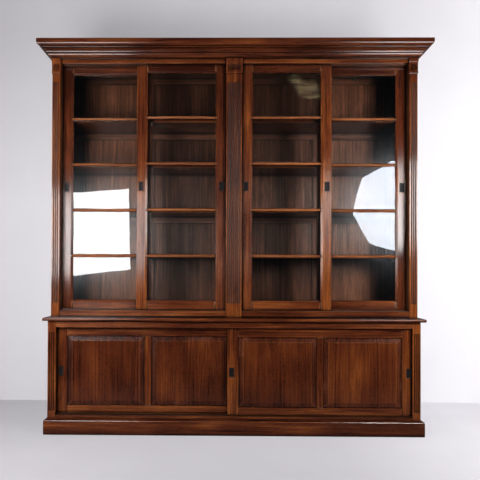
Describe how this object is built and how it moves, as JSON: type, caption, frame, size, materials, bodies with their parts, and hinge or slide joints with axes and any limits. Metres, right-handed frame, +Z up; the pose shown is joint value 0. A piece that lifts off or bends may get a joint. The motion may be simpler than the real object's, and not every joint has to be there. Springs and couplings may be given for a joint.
{
  "type": "library bookcase",
  "caption": "Wooden library bookcase with sliding glazed doors above a base cabinet with sliding panelled doors, fluted pilasters, plinth and moulded cornice.",
  "frame": {"origin": "middle of the footprint on the floor", "axes": "+X to the right as seen from the front, +Y to the back, +Z up"},
  "size_m": [2.4, 0.513, 2.4],
  "materials": {
    "front_wood": "satin varnish",
    "inner_wood": "dark stain, satin",
    "glass": "clear flat glass",
    "pull_steel": "dark nickel plate, worn satin"
  },
  "bodies": {
    "cabinet": {"base_back_frame": "inner_wood", "base_back_panels": "inner_wood", "base_bottom_rail": "front_wood", "base_divider": "inner_wood", "base_floor_board": "inner_wood", "base_guide": "inner_wood", "base_jambs": "inner_wood", "base_runners": "inner_wood", "base_shelves": "inner_wood", "base_side_left": "front_wood", "base_side_right": "front_wood", "base_stile_left": "front_wood", "base_stile_right": "front_wood", "base_top_rail": "front_wood", "centre_partition": "inner_wood", "cornice_frame": "inner_wood", "cornice_front": "front_wood", "cornice_returns": "front_wood", "frieze_rail": "front_wood", "pilaster_centre": "front_wood", "pilaster_left": "front_wood", "pilaster_right": "front_wood", "plinth": "front_wood", "shelf_battens": "inner_wood", "shelves_left": "inner_wood", "shelves_right": "inner_wood", "top_board": "inner_wood", "top_cover": "inner_wood", "upper_back_frame": "inner_wood", "upper_back_panels": "inner_wood", "upper_bottom_rails": "front_wood", "upper_floor_boards": "inner_wood", "upper_guides": "inner_wood", "upper_jambs": "inner_wood", "upper_runners": "inner_wood", "upper_side_left": "front_wood", "upper_side_right": "front_wood", "waist_ledge": "front_wood"},
    "glazed_door_1": {"glazed_door_1_frame": "front_wood", "glazed_door_1_glazing_bars": "front_wood", "glazed_door_1_panes": "glass", "glazed_door_1_pulls": "pull_steel"},
    "glazed_door_2": {"glazed_door_2_frame": "front_wood", "glazed_door_2_glazing_bars": "front_wood", "glazed_door_2_panes": "glass", "glazed_door_2_pulls": "pull_steel"},
    "glazed_door_3": {"glazed_door_3_frame": "front_wood", "glazed_door_3_glazing_bars": "front_wood", "glazed_door_3_panes": "glass", "glazed_door_3_pulls": "pull_steel"},
    "glazed_door_4": {"glazed_door_4_frame": "front_wood", "glazed_door_4_glazing_bars": "front_wood", "glazed_door_4_panes": "glass", "glazed_door_4_pulls": "pull_steel"},
    "base_door_left": {"base_door_left_frame": "front_wood", "base_door_left_panels": "front_wood", "base_door_left_pulls": "pull_steel"},
    "base_door_right": {"base_door_right_frame": "front_wood", "base_door_right_panels": "front_wood", "base_door_right_pulls": "pull_steel"}
  },
  "joints": [
    {"name": "glazed_door_1_slide", "type": "slide", "parent": "cabinet", "child": "glazed_door_1", "axis": [1, 0, 0], "range_m": [0, 0.47]},
    {"name": "glazed_door_2_slide", "type": "slide", "parent": "cabinet", "child": "glazed_door_2", "axis": [1, 0, 0], "range_m": [-0.47, 0]},
    {"name": "glazed_door_3_slide", "type": "slide", "parent": "cabinet", "child": "glazed_door_3", "axis": [1, 0, 0], "range_m": [0, 0.47]},
    {"name": "glazed_door_4_slide", "type": "slide", "parent": "cabinet", "child": "glazed_door_4", "axis": [1, 0, 0], "range_m": [-0.47, 0]},
    {"name": "base_door_left_slide", "type": "slide", "parent": "cabinet", "child": "base_door_left", "axis": [1, 0, 0], "range_m": [0, 1.056]},
    {"name": "base_door_right_slide", "type": "slide", "parent": "cabinet", "child": "base_door_right", "axis": [1, 0, 0], "range_m": [-1.056, 0]}
  ]
}
